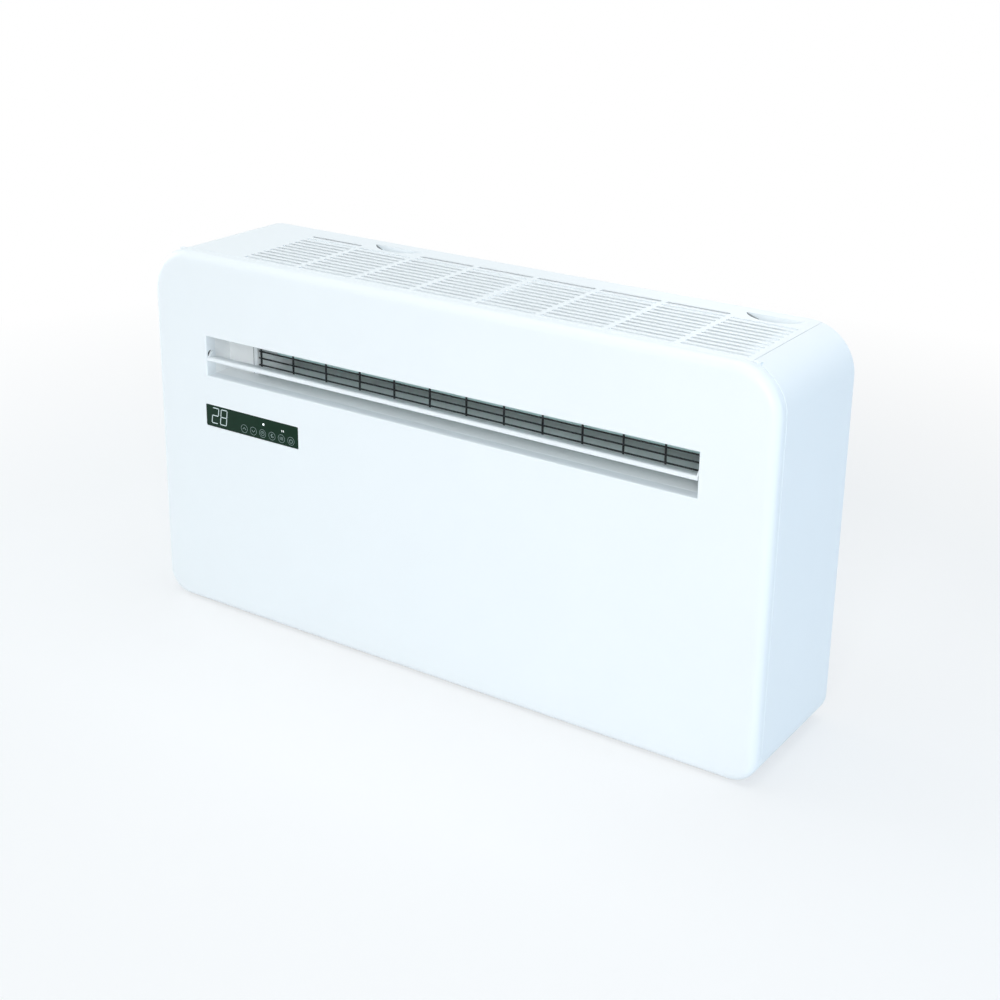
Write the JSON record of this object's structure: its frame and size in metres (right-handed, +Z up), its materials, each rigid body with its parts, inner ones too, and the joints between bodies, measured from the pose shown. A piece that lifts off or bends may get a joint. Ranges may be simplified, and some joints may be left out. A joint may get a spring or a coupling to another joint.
{
  "type": "monoblock air conditioner",
  "caption": "Wall-hung monoblock air conditioner: rounded white case, hinged top intake grille, front outlet with swing flap and wire guard, display strip, rear duct collars.",
  "frame": {"origin": "middle of the underside of the casing's bounding box", "axes": "+X to the right seen from the front, the front faces -Y, +Z up"},
  "size_m": [1, 0.22, 0.55],
  "materials": {
    "front_plastic": "satin moulded plastic",
    "side_plastic": "satin moulded plastic",
    "grille_plastic": "satin moulded plastic",
    "zinc_sheet": "plated sheet",
    "screw_steel": "plated",
    "filter_plastic": "matte",
    "filter_cloth": "woven mesh",
    "duct_plastic": "matte",
    "guard_wire": "black lacquer",
    "flap_plastic": "satin moulded plastic",
    "bush_plastic": "matte",
    "motor_case": "plated",
    "fan_plastic": "matte",
    "bearing_rubber": "matte",
    "fin_aluminium": "thin fins",
    "copper_tube": "drawn tube",
    "tray_foam": "matte",
    "ring_plastic": "matte",
    "scroll_plastic": "matte",
    "wheel_plastic": "matte",
    "mount_rubber": "matte",
    "compressor_paint": "black lacquer",
    "board_laminate": "lacquered board",
    "terminal_plastic": "matte",
    "window_acrylic": "dark smoked acrylic",
    "display_case": "matte",
    "gland_plastic": "matte",
    "spigot_plastic": "matte"
  },
  "bodies": {
    "casing": {"front_panel": "front_plastic", "left_side_panel": "side_plastic", "right_side_panel": "side_plastic", "base_pan": "zinc_sheet", "rear_plate": "zinc_sheet", "partition_plate": "zinc_sheet", "casing_screws": "screw_steel", "outlet_housing": "duct_plastic", "outlet_guard": "guard_wire", "flap_bushes": "bush_plastic", "flap_motor": "motor_case", "fan_bearing": "bearing_rubber", "cross_flow_motor": "motor_case", "evaporator_coil": "fin_aluminium", "evaporator_end_plates": "zinc_sheet", "evaporator_bends": "copper_tube", "drip_tray": "tray_foam", "intake_duct_ring": "ring_plastic", "exhaust_duct_ring": "ring_plastic", "condenser_coil": "fin_aluminium", "condenser_end_plates": "zinc_sheet", "condenser_bends": "copper_tube", "condenser_fan_housing": "scroll_plastic", "condenser_fan_motor": "motor_case", "compressor_mounts": "mount_rubber", "compressor": "compressor_paint", "accumulator": "compressor_paint", "discharge_pipe": "copper_tube", "suction_pipe": "copper_tube", "inlet_pipe": "copper_tube", "liquid_pipe": "copper_tube", "control_box": "zinc_sheet", "control_box_lid": "zinc_sheet", "control_board": "board_laminate", "terminal_block": "terminal_plastic", "display_window": "window_acrylic", "display_board": "display_case", "power_gland": "gland_plastic", "drain_spigot": "spigot_plastic"},
    "top_grille": {"top_grille": "grille_plastic", "filter_frame_left": "filter_plastic", "filter_frame_right": "filter_plastic", "filter_mesh_left": "filter_cloth", "filter_mesh_right": "filter_cloth"},
    "flap": {"flap": "flap_plastic"},
    "cross_flow_fan": {"cross_flow_fan": "fan_plastic"},
    "condenser_fan": {"condenser_fan_wheel": "wheel_plastic"}
  },
  "joints": [
    {"name": "grille_hinge", "type": "hinge", "parent": "casing", "child": "top_grille", "pos_m": [0, -0.0862, 0.5468], "axis": [1, 0, 0], "range_deg": [0, 80]},
    {"name": "flap_swing", "type": "hinge", "parent": "casing", "child": "flap", "pos_m": [0, -0.099, 0.399], "axis": [1, 0, 0], "range_deg": [-12, 105]},
    {"name": "cross_flow_spin", "type": "hinge", "parent": "casing", "child": "cross_flow_fan", "pos_m": [0, 0.01, 0.423], "axis": [1, 0, 0], "continuous": true},
    {"name": "condenser_spin", "type": "hinge", "parent": "casing", "child": "condenser_fan", "pos_m": [-0.175, -0.008, 0.2], "axis": [1, 0, 0], "continuous": true}
  ]
}
